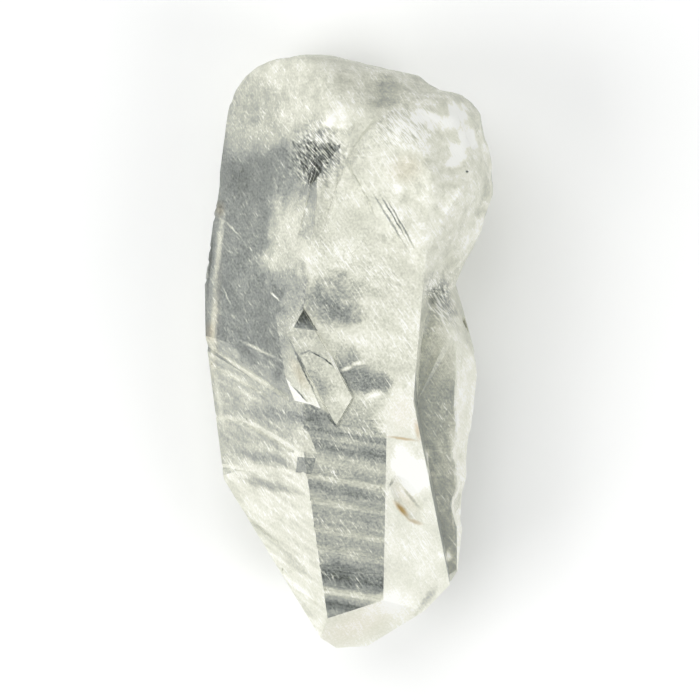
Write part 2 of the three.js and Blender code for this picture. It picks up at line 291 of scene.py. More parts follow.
# %% How worn a point is
WORN_ZONES = {  # centre and reach in mm, and how worn
    "worn cap": ((-4, 46.2, 18), (26, 17, 24), 0.8),
    "broken block": ((13, 27.2, 24), (16, 20, 20), 1.0),
    "notch": ((16, 8.2, 25), (7, 8, 10), 1.0),
    "chipped edge": ((18, -11.8, 20), (2.6, 26, 12), 0.5),
    "fracture": ((-4, 29.7, 33), (6, 8, 5), 1.0),
}
ZONE_EDGE = 0.3  # the share of a zone's reach over which the wear fades
FLAT_BELOW = 1.3 * MM  # the resting face stays flat


def wear(point):
    """How worn the crystal is at a point, from 0 to 1."""
    most = 0.0
    for centre, reach, amount in WORN_ZONES.values():
        away = Vector([(p / MM - c) / r for p, c, r in zip(point, centre, reach)]).length
        most = max(most, amount * min(1.0, (1.0 - away) / ZONE_EDGE))
    return most if point.z > FLAT_BELOW else 0.0


print("worn zones:", len(WORN_ZONES))


# %% [markdown]
# ## A finer copy of the solid
# The solid's flat faces are made of a few large triangles. The clouds further down are stored point by
# point, so the copy needs points everywhere. Subdividing all of it would make the small triangles of the
# worn zones needlessly fine. Instead long edges are halved, and only where an edge is the longest side
# of both its triangles: each of them then falls into two triangles, and the mesh stays closed.

# %% Long edges
LONGEST_ABOVE, LONGEST_BELOW = 1.0 * MM, 1.8 * MM  # on the side in view, and on the underside
MOST_PASSES = 60
SAME_POINT = 0.002 * MM


def too_long(edge):
    """Whether an edge is to be halved."""
    above = any(face.normal.z > 0 for face in edge.link_faces)
    return edge.calc_length() > (LONGEST_ABOVE if above else LONGEST_BELOW)


def edges_to_halve(work):
    """The edges that are too long and the longest side of all their triangles."""
    led = Counter(max(face.edges, key=lambda edge: edge.calc_length()) for face in work.faces)
    return [edge for edge, count in led.items() if count == len(edge.link_faces) and too_long(edge)]


# %% Copy, merge, cut and halve
work = bmesh.new()
work.from_mesh(solid.data)
bmesh.ops.remove_doubles(work, verts=work.verts, dist=SAME_POINT / 2)
face_layer = work.faces.layers.int.new("crystal_face")
for face in work.faces:
    face[face_layer] = crystal_face(face)
for corners, _, _ in FACETS.values():
    cut_facet(work, corners)
bmesh.ops.triangulate(work, faces=work.faces)
bmesh.ops.dissolve_degenerate(work, edges=work.edges, dist=SAME_POINT)
bmesh.ops.triangulate(work, faces=work.faces)
for _ in range(MOST_PASSES):
    halves = edges_to_halve(work)
    if not halves:
        break
    bmesh.ops.subdivide_edges(work, edges=halves, cuts=1, use_grid_fill=True, use_single_edge=True)
print("triangles after halving:", len(work.faces))

# %% Remember the facets and the wear
facet_layer = work.faces.layers.int.new("facet")
for face in work.faces:
    face[facet_layer] = NO_FACET
for number, (corners, _, _) in enumerate(FACETS.values()):
    for face in upper_faces(work, corners):
        x, y, _ = face.calc_center_median() / MM
        if holds(corners, x, y):
            face[facet_layer] = number
worn_layer = work.verts.layers.float.new("worn")
for vertex in work.verts:
    vertex[worn_layer] = wear(vertex.co)
copy_mesh = bpy.data.meshes.new("quartz_crystal")
work.to_mesh(copy_mesh)
work.free()
crystal = bpy.data.objects.new("quartz_crystal", copy_mesh)
bpy.context.scene.collection.objects.link(crystal)
print("copy:", len(copy_mesh.polygons), "triangles")

# %% [markdown]
# ## The weathered surface
# Geometry Nodes round off the copy's worn zones and give them two sizes of relief:
# lumps of a few millimetres and hackles of about one. The flat crystal faces keep their crisp edges,
# because an edge is only smoothed when its angle is small for how worn it is. Nothing may grow past the
# solid's box, so the last step holds every point inside it.

# %% Inputs of the surface
quartz = bpy.data.materials.new("milky_and_clear_quartz")
INPUTS = {
    "Lump size": ("NodeSocketFloat", 3.4 * MM),
    "Lump height": ("NodeSocketFloat", 0.5 * MM),
    "Hackle size": ("NodeSocketFloat", 1.4 * MM),
    "Hackle height": ("NodeSocketFloat", 0.26 * MM),
    "Crisp angle": ("NodeSocketFloat", math.radians(5)),
    "Worn angle": ("NodeSocketFloat", math.radians(40)),
    "Lowest corner": ("NodeSocketVector", cad_box[0]),
    "Highest corner": ("NodeSocketVector", cad_box[1]),
    "Material": ("NodeSocketMaterial", quartz),
}
RELIEF_DETAIL = 2.0  # finer layers in the relief's noise
ROUNDING_STEPS = 4  # how often a worn point is moved towards its neighbours
surface = bpy.data.node_groups.new("weathered_quartz", "GeometryNodeTree")
surface.interface.new_socket("Geometry", in_out="INPUT", socket_type="NodeSocketGeometry")
surface.interface.new_socket("Geometry", in_out="OUTPUT", socket_type="NodeSocketGeometry")
sockets = {
    name: surface.interface.new_socket(name, in_out="INPUT", socket_type=kind)
    for name, (kind, _) in INPUTS.items()
}
given = add(surface, "NodeGroupInput").outputs
wear_name = {"Name": "worn"}
worn_here = add(surface, "GeometryNodeInputNamedAttribute", wear_name, data_type="FLOAT").outputs[0]
here = add(surface, "GeometryNodeInputPosition").outputs[0]
outward = add(surface, "GeometryNodeInputNormal").outputs[0]
print("inputs:", ", ".join(sockets))


# %% Rounding and relief
def relief_of(size, height):
    """An offset along the surface's own direction: noise of one size, as high as the wear allows."""
    scale = add(surface, "ShaderNodeMath", {0: 1.0, 1: given[size]}, operation="DIVIDE").outputs[0]
    field = {"Vector": here, "Scale": scale, "Detail": RELIEF_DETAIL}
    lumps = add(surface, "ShaderNodeTexNoise", field).outputs[0]
    middle = add(surface, "ShaderNodeMath", {0: lumps, 1: NOISE_MIDDLE}, operation="SUBTRACT").outputs[0]
    tall = add(surface, "ShaderNodeMath", {0: middle, 1: given[height]}, operation="MULTIPLY").outputs[0]
    worn_tall = add(surface, "ShaderNodeMath", {0: tall, 1: worn_here}, operation="MULTIPLY").outputs[0]
    offset = {0: outward, "Scale": worn_tall}
    return add(surface, "ShaderNodeVectorMath", offset, operation="SCALE").outputs[0]


blurred = {"Value": here, "Iterations": ROUNDING_STEPS, "Weight": worn_here}
rounded = add(surface, "GeometryNodeBlurAttribute", blurred, data_type="FLOAT_VECTOR").outputs[0]
first = {"Geometry": given["Geometry"], "Position": rounded}
shape = add(surface, "GeometryNodeSetPosition", first).outputs[0]
for size, height in (("Lump size", "Lump height"), ("Hackle size", "Hackle height")):
    offset = relief_of(size, height)
    shape = add(surface, "GeometryNodeSetPosition", {"Geometry": shape, "Offset": offset}).outputs[0]
low, high = given["Lowest corner"], given["Highest corner"]
raised = add(surface, "ShaderNodeVectorMath", {0: here, 1: low}, operation="MAXIMUM").outputs[0]
held = add(surface, "ShaderNodeVectorMath", {0: raised, 1: high}, operation="MINIMUM").outputs[0]
shape = add(surface, "GeometryNodeSetPosition", {"Geometry": shape, "Position": held}).outputs[0]

# %% Crisp edges, and the end of the tree
angles = {0: worn_here, 3: given["Crisp angle"], 4: given["Worn angle"]}
limit = add(surface, "ShaderNodeMapRange", angles).outputs[0]
angle = add(surface, "GeometryNodeInputMeshEdgeAngle").outputs["Unsigned Angle"]
over = {0: angle, 1: limit}
sharp = add(surface, "FunctionNodeCompare", over, data_type="FLOAT", operation="GREATER_THAN").outputs[0]
shape = add(surface, "GeometryNodeSetShadeSmooth", {"Geometry": shape}, domain="FACE").outputs[0]
crisp = {"Geometry": shape, "Selection": sharp, "Shade Smooth": False}
shape = add(surface, "GeometryNodeSetShadeSmooth", crisp, domain="EDGE").outputs[0]
shape = add(surface, "GeometryNodeRealizeInstances", {"Geometry": shape}).outputs[0]
dressed = {"Geometry": shape, "Material": given["Material"]}
shape = add(surface, "GeometryNodeSetMaterial", dressed).outputs[0]
add(surface, "NodeGroupOutput", {"Geometry": shape})
print("surface:", len(surface.nodes), "nodes")

# %% Run the surface and keep the result as a plain mesh
modifier = crystal.modifiers.new("weathered_quartz", "NODES")
modifier.node_group = surface
for name, (_, value) in INPUTS.items():
    modifier[sockets[name].identifier] = value
evaluated = crystal.evaluated_get(bpy.context.evaluated_depsgraph_get())
crystal_mesh = bpy.data.meshes.new_from_object(evaluated)
crystal.modifiers.remove(modifier)
crystal.data = crystal_mesh
print("crystal:", len(crystal_mesh.polygons), "triangles,", [m.name for m in crystal_mesh.materials])

# %% [markdown]
# ## Clouds, clear windows and painted glare
# What makes quartz milky is a haze of tiny fluid bubbles and healed cracks. The clouds are the large
# soft patches of it inside the crystal. They could be a volume, but a volume of this detail takes very
# long to render, and the crystal is hazy enough that a cloud reads the same on its surface. Some patches
# are not haze: those named glare or glint are painted highlights, those named shade are painted shade,
# and the point's patch is partly painted light. Each one is an ellipse seen from above, with an edge that
# waves push about. They are laid over the milk of the faces one after the other, the facets come on top,
# and the result is one number at each face corner.

# %% Clouds and painted glare
CLOUDS_AND_PAINTED_GLARE = {  # middle, half length and half width in mm, turn in degrees, milk, softness
    "worn cap": ((-7, 44.5), (20, 14.5), 0, 0.83, 0.3),
    "cap's left foot": ((-17.5, 37), (8.5, 9), 0, 0.64, 0.5),
    "cap's left shade": ((-15.4, 36), (6, 1.5), 86, 0.72, 0.9),
    "cap's right shade": ((5, 39.2), (5, 2.4), 22, 0.64, 0.9),
    "broken block": ((12.5, 25.5), (12, 18), 0, 0.88, 0.4),
    "left dark zone": ((-16.6, 25.5), (4.2, 6.4), 0, 0.32, 0.8),
    "cap's left skirt": ((-13.4, 33.4), (6.4, 3.6), 0, 0.7, 0.8),
    "left cloud": ((-9, 18.6), (4.6, 9.5), -6, 0.83, 0.8),
    "left cloud's lobe": ((-12.2, 13.9), (3.2, 2.6), 20, 0.84, 0.8),
    "left cloud's tail": ((-6.8, 14), (2.2, 5.4), 10, 0.84, 0.7),
    "left lens": ((-8.5, 9), (2.4, 4.4), 0, 0.57, 0.5),
    "left dim spot": ((-12.2, 9.4), (3.2, 2.8), 0, 0.38, 0.8),
    "upper face's shade": ((-4.6, 18.5), (2.4, 8), 0, 0.76, 0.8),
    "blue window's top": ((-1.6, 10.2), (4.6, 2), -22, 0.58, 0.8),
    "blue window's left": ((-5, 8), (2.4, 3.6), 0, 0.5, 0.8),
    "blue window": ((-3, 6.6), (5.6, 3.4), -10, 0.42, 0.7),
    "blue window's arm": ((3.4, 9.8), (4.4, 1.2), -26, 0.7, 0.9),
    "white sheet": ((2.6, 2.3), (6, 2.6), 0, 0.9, 0.7),
    "lower window": ((0.8, -3), (5, 4), -20, 0.48, 0.7),
    "lower window's right": ((3.8, -4.6), (3.6, 3.2), -20, 0.44, 0.7),
    "grey veil": ((0.2, -10.4), (8.4, 4.4), -4, 0.65, 0.7),
    "dark foot": ((-5.2, -10.2), (3.6, 2.2), -20, 0.42, 0.7),
    "cream corner": ((7.6, -9.2), (2.8, 5), 0, 0.92, 0.5),
    "left dark wedge": ((-13.8, 0), (9.5, 4.4), -22, 0.4, 0.5),
    "left dim middle": ((-12.4, -4.2), (6, 2.6), -32, 0.52, 0.8),
    "left grey patch": ((-9.4, -9.9), (4.4, 2.2), 0, 0.54, 0.8),
    "left banded zone": ((-13.6, -18.2), (8.4, 4.4), -6, 0.79, 0.6),
    # Painted glare: the right softbox's highlight on the right face, painted white into the colour.
    "right face's glare": ((9.3, -18.6), (3.6, 5.4), 12, 1.2, 0.7),
    "side crystal's pale shoulder": ((15.6, 1), (5, 8), 0, 0.84, 0.7),
    "side crystal's right haze": ((18.2, -14), (3.4, 18), -6, 0.94, 0.9),
    "side crystal's fleck": ((14.4, -16), (1.6, 5), 8, 0.78, 0.9),
    "side crystal's veil": ((13.4, -4.5), (1.2, 5), -14, 0.72, 0.9),
    # Painted glint: a small white highlight on the side crystal.
    "side crystal's glint": ((14.9, -32.2), (0.6, 1.5), 0, 1.0, 0.4),
    # Painted glare: white highlights of the lamps on the broken block, painted into the colour.
    "block's glare": ((15.8, 36.2), (2.4, 2.6), 20, 1.12, 0.4),
    "block's long glare": ((17.2, 31.6), (4.2, 1.5), 68, 1.12, 0.4),
    "block's small glare": ((12, 34.9), (2.6, 1.4), 8, 1.12, 0.4),
    "block's fold": ((20.4, 21.5), (4.6, 1.2), 55, 0.72, 0.9),
    "fracture": ((-5.6, 29), (4, 4.6), -20, 0.44, 0.8),
    "above the fracture": ((-6.2, 33), (4.2, 3.2), 0, 0.68, 0.8),
    # Painted glare: a white highlight on the fracture, painted into the colour.
    "fracture's glare": ((-1.7, 35), (2.2, 2.3), 0, 1.0, 0.6),
    "notch": ((14.3, 7.6), (2.2, 4.8), 25, 0.42, 0.8),
    # Partly haze, partly painted light: it lightens the tip where it meets the lit right face, so their
    # shading step fades.
    "point's haze and painted light": ((7, -39.4), (7, 3.4), 15, 1.04, 0.9),
}
FACET_HAZES = {
    "small crystal's pale end": ((-6.2, 1.6), (2.6, 1.2), 0, 0.84, 0.8),
    "small crystal's dim middle": ((-4.6, -4.8), (3.6, 1.9), -62, 0.54, 0.8),
    "small crystal's pale edge": ((-0.6, -7.2), (3, 0.9), -60, 0.96, 0.8),
    "flank's dim end": ((-10.6, 3.4), (1.4, 3), 10, 0.6, 0.9),
}
CLOUD_HEIGHT, CLOUD_REACH = 32.0, 40.0  # mm: the clouds belong to the upper side
WAVES = {5.0: 1.9, 1.7: 1.3}  # mm: the size of the waves in a cloud's edge, and how far they push it
WAVE_SEED = 4  # without a seed this noise starts from the clock and differs at each run
TRIANGLE = 3  # corners

print("clouds:", len(CLOUDS_AND_PAINTED_GLARE), "and hazes:", len(FACET_HAZES))

# %% Waves, and a cloud's share
noise.seed_set(WAVE_SEED)
points = np.empty(len(crystal_mesh.vertices) * 3)
crystal_mesh.vertices.foreach_get("co", points)
points = points.reshape(-1, 3) / MM
pushed = points.copy()
for size, reach in WAVES.items():
    pushed += reach * np.array([noise.noise_vector(point / size) for point in points])
corner_point = np.empty(len(crystal_mesh.loops), dtype=np.int32)
crystal_mesh.loops.foreach_get("vertex_index", corner_point)


def at_corners(name):
    """A number that each triangle remembers, given to its corners."""
    numbers = np.empty(len(crystal_mesh.polygons), dtype=np.int32)
    crystal_mesh.attributes[name].data.foreach_get("value", numbers)
    return np.repeat(numbers, TRIANGLE)


def cloud_and_glare_share(middle, reach, turn, soft):
    """How much of a cloud or of a painted glare or shade patch lies at each corner: 1 in its middle, 0
    outside.
    """
    away = pushed - (*middle, CLOUD_HEIGHT)
    c, s = math.cos(math.radians(turn)), math.sin(math.radians(turn))
    along = (away[:, 0] * c + away[:, 1] * s) / reach[0]
    across = (away[:, 1] * c - away[:, 0] * s) / reach[1]
    inside = 1 - np.sqrt(along**2 + across**2 + (away[:, 2] / CLOUD_REACH) ** 2)
    share = np.clip(inside / soft, 0, 1)
    return (share**2 * (3 - 2 * share))[corner_point]


# %% Clouds over faces, and facets over clouds
on_face, on_facet = at_corners("crystal_face"), at_corners("facet")
milk_and_painted_light_field = np.array([milk_and_painted_light for _, _, milk_and_painted_light in FACES.values()] + [PLAIN_MILK])[on_face]
for middle, reach, turn, value, soft in CLOUDS_AND_PAINTED_GLARE.values():
    milk_and_painted_light_field += cloud_and_glare_share(middle, reach, turn, soft) * (value - milk_and_painted_light_field)
for number, (corners, value, change) in enumerate(FACETS.values()):
    own = on_facet == number
    milk_and_painted_light_field[own] = value + (points[corner_point[own], :2] - np.mean(corners, axis=0)) @ change
for middle, reach, turn, value, soft in FACET_HAZES.values():
    share = cloud_and_glare_share(middle, reach, turn, soft) * (on_facet != NO_FACET)
    milk_and_painted_light_field += share * (value - milk_and_painted_light_field)
print("milk from", milk_and_painted_light_field.min().round(2), "to", milk_and_painted_light_field.max().round(2))

# %% Store the milk, and where the bars and streaks are
names = list(FACES)
barred_field = (on_face == names.index("barred")) & (on_facet == NO_FACET)
left_field = (on_face == names.index("left_barred")) | (on_face == names.index("left_point"))
for name, values in (("milk_and_painted_light", milk_and_painted_light_field), ("barred", barred_field), ("streaked", left_field)):
    crystal_mesh.attributes.new(name, "FLOAT", "CORNER").data.foreach_set("value", values.astype(float))
print("stored at", len(corner_point), "corners")

# %% [markdown]
# ## Quartz
# Quartz is see-through with an index of refraction of 1.544. One number, the milk, drives the whole
# finish: where it is low the crystal lets light through and looks grey, a grey that is painted shade of
# the surroundings seen through it, and where it is high it is a soft cream white. At 1 and above it also
# carries painted glare. The material starts from the milk that the mesh carries, and finer marks are added
# to it.

# %% The milk field
quartz.use_nodes = True
tree = quartz.node_tree
tree.nodes.clear()

milk_and_painted_light, worn, barred, streaked = [
    add(tree, "ShaderNodeAttribute", attribute_name=name).outputs["Fac"]
    for name in ("milk_and_painted_light", "worn", "barred", "streaked")
]
print("attributes:", len(tree.nodes))

# %% [markdown]
# ## Growth bars, cracks and seams
# Lemurian quartz is known for its ladder of growth bars: the grooves are in the solid, and light and
# dark bands run along them where the haze is denser or thinner. Cracks and seams are thin dark lines.
# Most are finer than the mesh, so they are drawn in the material: a spherical gradient falls from 1 to
# 0 over a ball, and a mapping stretches that ball into a long thin line from one end to the other.

# %% Lines
LINES = {  # the two ends in mm as seen from above, half width, milk
    "left rim, upper": ((-19.2, 25), (-21.4, 7), 0.9, 0.94),
    "left rim": ((-20.8, 14), (-21.4, -6), 0.9, 0.94),
    "left rim, lower": ((-21.6, 0), (-19, -15), 0.7, 0.9),
    "left dark band": ((-21.6, -8.8), (-5.4, -10.4), 1.6, 0.46),
    "left blue band": ((-21.6, -14.8), (-5.4, -17.9), 1.6, 0.5),
    "left pale line": ((-16, -17.4), (-6.6, -19.2), 0.5, 0.92),
    "left second band": ((-19, -19.2), (-6, -22.2), 1.1, 0.54),
    "left bar 1": ((-22.6, 1.1), (-8.6, -7.9), 0.7, 0.95),
    "left bar 2": ((-18.6, 2.4), (-9.8, -1.8), 0.4, 0.76),
    "left bar 3": ((-22, -1.8), (-12.6, -7), 0.7, 0.84),
    "left bar 4": ((-20.4, -4.6), (-12.4, -8.6), 0.5, 0.8),
    "left bar 5": ((-21.8, -9.8), (-15.2, -11.2), 0.8, 0.92),
    "left bar 6": ((-18, -10), (-7.6, -15.4), 1.0, 0.88),
    "left bar 7": ((-21, -17.6), (-6, -19.4), 0.7, 0.86),
    "point bar 1": ((-19.8, -22.4), (-9.6, -31), 0.9, 0.7),
    "point bar 2": ((-18, -26.2), (-7.4, -35.2), 0.7, 0.98),
    "point bar 3": ((-11, -33.4), (-3.6, -40.2), 0.9, 0.98),
    "point bar 4": ((-10.4, -36), (-4.6, -42), 0.7, 0.72),
    "point bar 5": ((-12, -29.4), (-4.4, -36.6), 1.0, 0.72),
    "point's side streak": ((14.3, -35.2), (9.3, -41.6), 0.8, 0.64),
    "small crystal's right edge": ((-5.4, 3.9), (0.8, -7.8), 0.26, 1.05),
    "small crystal's right seam": ((-2.2, -1.8), (1, -7.4), 0.2, 0.3),
    "small crystal's left seam": ((-9.9, 3.4), (-3.9, -9.6), 0.2, 0.3),
    "small crystal's foot": ((-4.2, -9), (-1, -12.6), 0.3, 0.3),
    "small crystal's crack, left": ((-7.9, -0.7), (-5.7, 0.1), 0.25, 0.44),
    "small crystal's crack": ((-6.4, 0.2), (-3.7, -1.3), 0.2, 0.2),
    "small crystal's crack, right": ((-4.5, -0.7), (-2, -2.7), 0.2, 0.05),
    "flank's crack": ((-9.4, -4.6), (-5.8, -8.4), 0.2, 0.2),
    "wisp 1": ((-1.9, -3.2), (1, -2.2), 0.5, 1.0),
    "wisp 1's right half": ((-0.2, -2.2), (2.8, -1.7), 0.45, 0.98),
    "wisp 2": ((1.6, -7.4), (6.2, -6.2), 1.0, 1.0),
    "block line 1": ((2.6, 25.6), (9.6, 14.2), 0.24, 0.5),
    "block line 2": ((4.2, 24.6), (9.4, 15.8), 0.2, 0.25),
    "block line 3": ((5, 24.2), (10.2, 15.4), 0.18, 0.3),
    "block line 4": ((5.6, 23.4), (10.8, 14), 0.2, 0.5),
    # Painted shade: a darker stripe along the edge between the upper and left faces.
    "painted shade along the upper face's edge": ((-5, 25), (-5.8, 15.6), 0.4, 0.6),
    "chip's upper edge": ((7, -19.4), (11.9, -25.6), 0.36, 0.7),
    "chip's left edge": ((5.7, -21.4), (6.9, -19.4), 0.36, 0.62),
    "scratch 1": ((-3, 16.4), (2.4, 9.8), 0.14, 1.0),
    "scratch 2": ((-12.6, 9.4), (-10.2, 7.2), 0.22, 1.05),
    "scratch 3": ((-20, 20.8), (-16.4, 17.2), 0.24, 0.98),
    "scratch 4": ((-20.2, 11), (-18, 6.2), 0.2, 0.95),
    "left rim's shadow": ((-20.9, 22), (-22.5, 5), 0.36, 0.0),
    "left rim's shadow, lower": ((-22.3, 9), (-22.7, 0.6), 0.36, 0.0),
    "speck 1": ((17.7, 27.5), (18.2, 27.2), 0.25, -0.4),
    "speck 2": ((-1.7, -30.9), (-1.2, -31.4), 0.25, -0.4),
}
BARS = {  # where a bar crosses the middle of the barred face, along Y in mm; half width, milk
    -12.9: (0.8, 0.44),
    -15.2: (1.4, 0.4),
    -17.4: (1.6, 0.74),
    -20.0: (0.8, 0.8),
    -21.7: (1.0, 0.46),
    -23.8: (1.0, 0.74),
    -28.1: (1.0, 0.72),
    -31.0: (0.9, 0.7),
    -34.7: (2.6, 0.3),
    -37.3: (0.9, 0.86),
    -39.3: (1.3, 0.3),
}
BAR_MIDDLE, BAR_HALF_LENGTH, BAR_TURN = -0.6, 16.0, -9.5  # mm, mm, degrees
print("lines:", len(LINES), "and bars:", len(BARS))

# %% Draw the lines and bars
LINE_SOFT = 0.9
LINE_WAVE_SIZE, LINE_WAVE = 1.2, 0.28  # mm: the waves in a line, and how far they push it
LINE_WAVE_DETAIL = 1.0
place = add(tree, "ShaderNodeTexCoord").outputs["Object"]
place_mm = add(tree, "ShaderNodeMapping", {"Vector": place, "Scale": (1 / MM,) * 3}).outputs[0]
field = {"Vector": place_mm, "Scale": 1 / LINE_WAVE_SIZE, "Detail": LINE_WAVE_DETAIL}
waves = add(tree, "ShaderNodeTexNoise", field).outputs["Color"]
centred = {0: waves, 1: (NOISE_MIDDLE,) * 3}
waves = add(tree, "ShaderNodeVectorMath", centred, operation="SUBTRACT").outputs[0]
waves = add(tree, "ShaderNodeVectorMath", {0: waves, "Scale": LINE_WAVE}, operation="SCALE").outputs[0]
wavy_mm = add(tree, "ShaderNodeMapping", {"Vector": place_mm, "Location": waves}).outputs[0]


def spot(middle, reach, turn, soft):
    """A soft ellipsoid: 1 in its middle, 0 outside, turned by degrees as seen from above."""
    stretch = {
        "Vector": wavy_mm,
        "Location": (*middle, CLOUD_HEIGHT),
        "Rotation": (0, 0, math.radians(turn)),
        "Scale": (*reach, CLOUD_REACH),
    }
    local = add(tree, "ShaderNodeMapping", stretch, vector_type="TEXTURE").outputs[0]
    ball = add(tree, "ShaderNodeTexGradient", {"Vector": local}, gradient_type="SPHERICAL").outputs["Fac"]
    ends = {"Value": ball, "From Max": soft}
    return add(tree, "ShaderNodeMapRange", ends, interpolation_type="SMOOTHSTEP", clamp=False).outputs[0]


for start, end, half_width, value in LINES.values():
    way = Vector(end) - Vector(start)
    middle = (Vector(start) + Vector(end)) / 2
    turn = math.degrees(math.atan2(way.y, way.x))
    line = spot(middle, (way.length / 2, half_width), turn, LINE_SOFT)
    milk_and_painted_light = add(tree, "ShaderNodeMix", {0: line, 2: milk_and_painted_light, 3: value}).outputs[0]
with_bars = milk_and_painted_light
for y, (half_width, value) in BARS.items():
    bar = spot((BAR_MIDDLE, y), (BAR_HALF_LENGTH, half_width), BAR_TURN, LINE_SOFT)
    with_bars = add(tree, "ShaderNodeMix", {0: bar, 2: with_bars, 3: value}).outputs[0]
milk_and_painted_light = add(tree, "ShaderNodeMix", {0: barred, 2: milk_and_painted_light, 3: with_bars}).outputs[0]
print("nodes so far:", len(tree.nodes))

# %% [markdown]
# ## Fine texture
# A long life in the ground left the faces covered in hairlines that run mostly one way, and the haze
# is uneven down to a fraction of a millimetre. Hairlines are noise stretched along one direction and cut
# off at a threshold. On the left faces and between the bars, long soft streaks follow the growth
# instead. In the fractures the strokes are painted glints, bright on dark, where tilted splinters mirror
# the lamp.

# %% Noise along one direction, and even noise
HAIR = (1.7, 0.16, -57)  # length and width in mm, turn in degrees as seen from above
SPLINTER = (1.3, 0.16, -50)
LEFT_STREAK = (9.0, 0.7, -33)
BAR_STREAK = (9.0, 0.5, BAR_TURN)
STREAK_DETAIL = 2.0
GRAIN = (0.34, 2.0)  # size in mm, and detail
PATCHES = (4.0, 3.0)
HACKLES = (1.6, 3.0)


def stretched(length, width, turn):
    """Noise drawn out along one direction."""
    turned = {
        "Vector": place_mm,
        "Rotation": (0, 0, math.radians(turn)),
        "Scale": (length, width, length),
    }
    local = add(tree, "ShaderNodeMapping", turned, vector_type="TEXTURE").outputs[0]
    field = {"Vector": local, "Scale": 1.0, "Detail": STREAK_DETAIL}
    return add(tree, "ShaderNodeTexNoise", field).outputs[0]


def mottled(size, detail):
    """Even noise with lumps of one size."""
    field = {"Vector": wavy_mm, "Scale": 1 / size, "Detail": detail}
    return add(tree, "ShaderNodeTexNoise", field).outputs[0]


hair, patches = stretched(*HAIR), mottled(*PATCHES)
print("nodes with noise:", len(tree.nodes))

# %% Hairlines
HAIR_LIGHT = (0.58, 0.78, 0.0, 0.54)  # two values of the noise, and the milk that is added at each
HAIR_DARK = (0.42, 0.25, 0.0, -0.14)
HAIR_PATCHES = (0.4, 0.62, 0.35, 1.2)  # some patches have fainter hairlines than others
HAIR_FADE = (0.65, 1.0, 1.0, 0.5)  # and so has what is milky
light, dark, patchy, faded = [
    add(tree, "ShaderNodeMapRange", dict(enumerate((field, *ends)))).outputs[0]
    for field, ends in ((hair, HAIR_LIGHT), (hair, HAIR_DARK), (patches, HAIR_PATCHES), (milk_and_painted_light, HAIR_FADE))
]
hair_milk = add(tree, "ShaderNodeMath", {0: light, 1: dark}, operation="ADD").outputs[0]
hair_share = add(tree, "ShaderNodeMath", {0: patchy, 1: faded}, operation="MULTIPLY").outputs[0]
combed = {0: hair_share, 1: hair_milk, 2: milk_and_painted_light}
milk_and_painted_light = add(tree, "ShaderNodeMath", combed, operation="MULTIPLY_ADD").outputs[0]
print("hairlines:", HAIR[0], "mm long")

# %% Grain, patches, hackles and streaks
GRAIN_FADE = (0.7, 1.0, 1.0, 0.35)  # two values of the milk, and how strong the grain is at each
NOISE_LOW, NOISE_HIGH = 0.3, 0.7  # noise seldom leaves this range
grain_share = add(tree, "ShaderNodeMapRange", dict(enumerate((milk_and_painted_light, *GRAIN_FADE)))).outputs[0]
LAYERS = (  # where it shows, its noise, and the milk that is added where the noise is low and high
    (grain_share, mottled(*GRAIN), -0.13, 0.13),
    (1.0, patches, -0.06, 0.06),
    (worn, mottled(*HACKLES), -0.1, 0.08),
    (streaked, stretched(*LEFT_STREAK), -0.08, 0.08),
    (barred, stretched(*BAR_STREAK), -0.07, 0.07),
)
for share, field, at_low, at_high in LAYERS:
    ends = {0: field, 1: NOISE_LOW, 2: NOISE_HIGH, 3: at_low, 4: at_high}
    change = add(tree, "ShaderNodeMapRange", ends).outputs[0]
    milk_and_painted_light = add(tree, "ShaderNodeMath", {0: share, 1: change, 2: milk_and_painted_light}, operation="MULTIPLY_ADD").outputs[0]
print("layers:", len(LAYERS))

# %% Fractures
FRACTURES = {  # middle, half length and half width, turn, share
    "between cap and block": ((-5.2, 29.8), (5.6, 6.6), -15, 0.85),
    "below the block": ((5, 11.4), (6.5, 2.8), -30, 0.25),
    "block's flecks": ((8.6, 34.2), (7.5, 4.8), 15, 0.45),
    "notch": ((14.3, 7.6), (3, 5.6), 25, 0.85),
}
FRACTURE_SOFT = 0.7
# Painted glints: bright strokes, with darker ones between, where fracture splinters mirror the lamp.
SPLINTER_GLINTS = (0.4, 0.66, -0.3, 0.7)  # two values of the noise, and the milk that is added at each
splinter_glints = add(tree, "ShaderNodeMapRange", dict(enumerate((stretched(*SPLINTER), *SPLINTER_GLINTS)))).outputs[0]
for middle, reach, turn, share in FRACTURES.values():
    broken = {0: spot(middle, reach, turn, FRACTURE_SOFT), 1: share}
    mask = add(tree, "ShaderNodeMath", broken, operation="MULTIPLY").outputs[0]
    milk_and_painted_light = add(tree, "ShaderNodeMath", {0: mask, 1: splinter_glints, 2: milk_and_painted_light}, operation="MULTIPLY_ADD").outputs[0]
print("fractures:", len(FRACTURES))

# %% [markdown]
# ## Iron stains
# Water left a little rust-coloured iron in cracks and along chipped edges. It is its own field, a share
# of stain from 0 to 1, and only tints the colour.

# %% Stains
STAINS = {  # middle, half length and half width, turn, share
    "chip's lower edge": ((8, -24.3), (2.4, 0.7), -48, 0.9),
    "chip's end": ((10, -26.2), (2, 0.5), -20, 0.45),
    "chip": ((8.6, -22.6), (3.6, 1.4), -53, 0.16),
    "crack on the right face": ((8.1, -13.4), (3, 0.34), -8, 0.7),
    "edge of the right face": ((10.4, -12.2), (2.4, 0.6), -80, 0.5),
    "cream corner": ((8, -9.6), (3, 4.5), 0, 0.1),
    "left edge": ((-20.2, 22), (1.4, 2.2), 0, 0.45),
    "left rim": ((-20.8, 5), (1.2, 18), -3, 0.14),
    "left edge, lower": ((-21.8, 3), (1.3, 2.6), 0, 0.4),
    "small crystal's flank": ((-7.6, -3.6), (4.2, 1.2), -63, 0.2),
    "block": ((8.6, 27.6), (4, 3.2), 20, 0.16),
    "point": ((1, -42.4), (9, 3.6), 22, 0.12),
}
